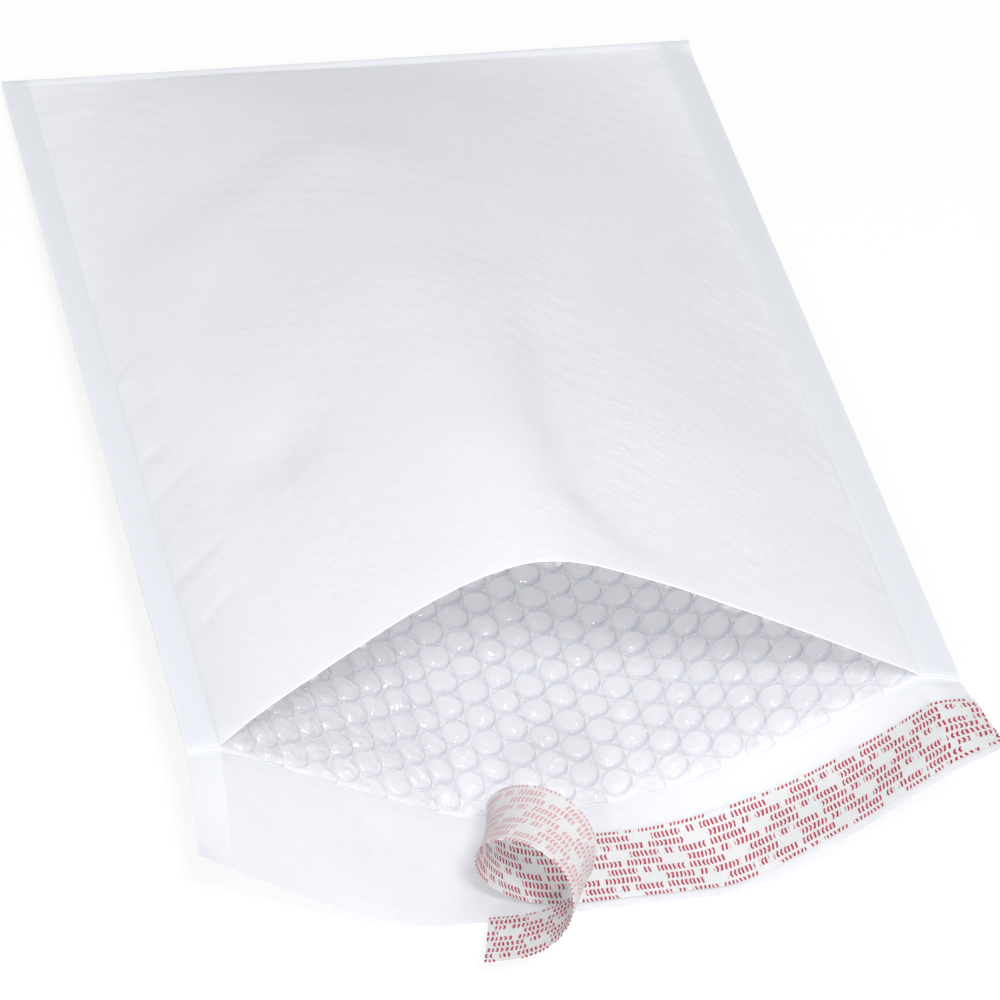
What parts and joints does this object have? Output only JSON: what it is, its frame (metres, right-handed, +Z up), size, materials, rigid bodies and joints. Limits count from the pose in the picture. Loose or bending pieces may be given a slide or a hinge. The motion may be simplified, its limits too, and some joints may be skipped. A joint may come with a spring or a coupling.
{
  "type": "padded envelope",
  "caption": "White padded mailing envelope lying open at the mouth, with a bubble film lining, a gummed lip and a half-peeled, curled release strip.",
  "frame": {"origin": "on the surface that the envelope lies on, under the middle of its whole outline, the curled end of the release strip included", "axes": "+Z up; the mouth and its lip face -Y and the bottom fold is at +Y; X runs across the envelope"},
  "size_m": [0.267, 0.4545, 0.1024],
  "materials": {
    "paper": "smooth white kraft paper, matt with a faint sheen",
    "bubble_film": "clear polyethylene bubble film, glossy, over white paper",
    "adhesive": "clear tacky hot-melt adhesive",
    "release_liner": "thin translucent coated liner with rows of crimson marks"
  },
  "bodies": {
    "root": {"outer_paper": "paper", "bubble_lining": "bubble_film", "flap_adhesive": "adhesive", "release_strip": "release_liner"}
  },
  "joints": []
}
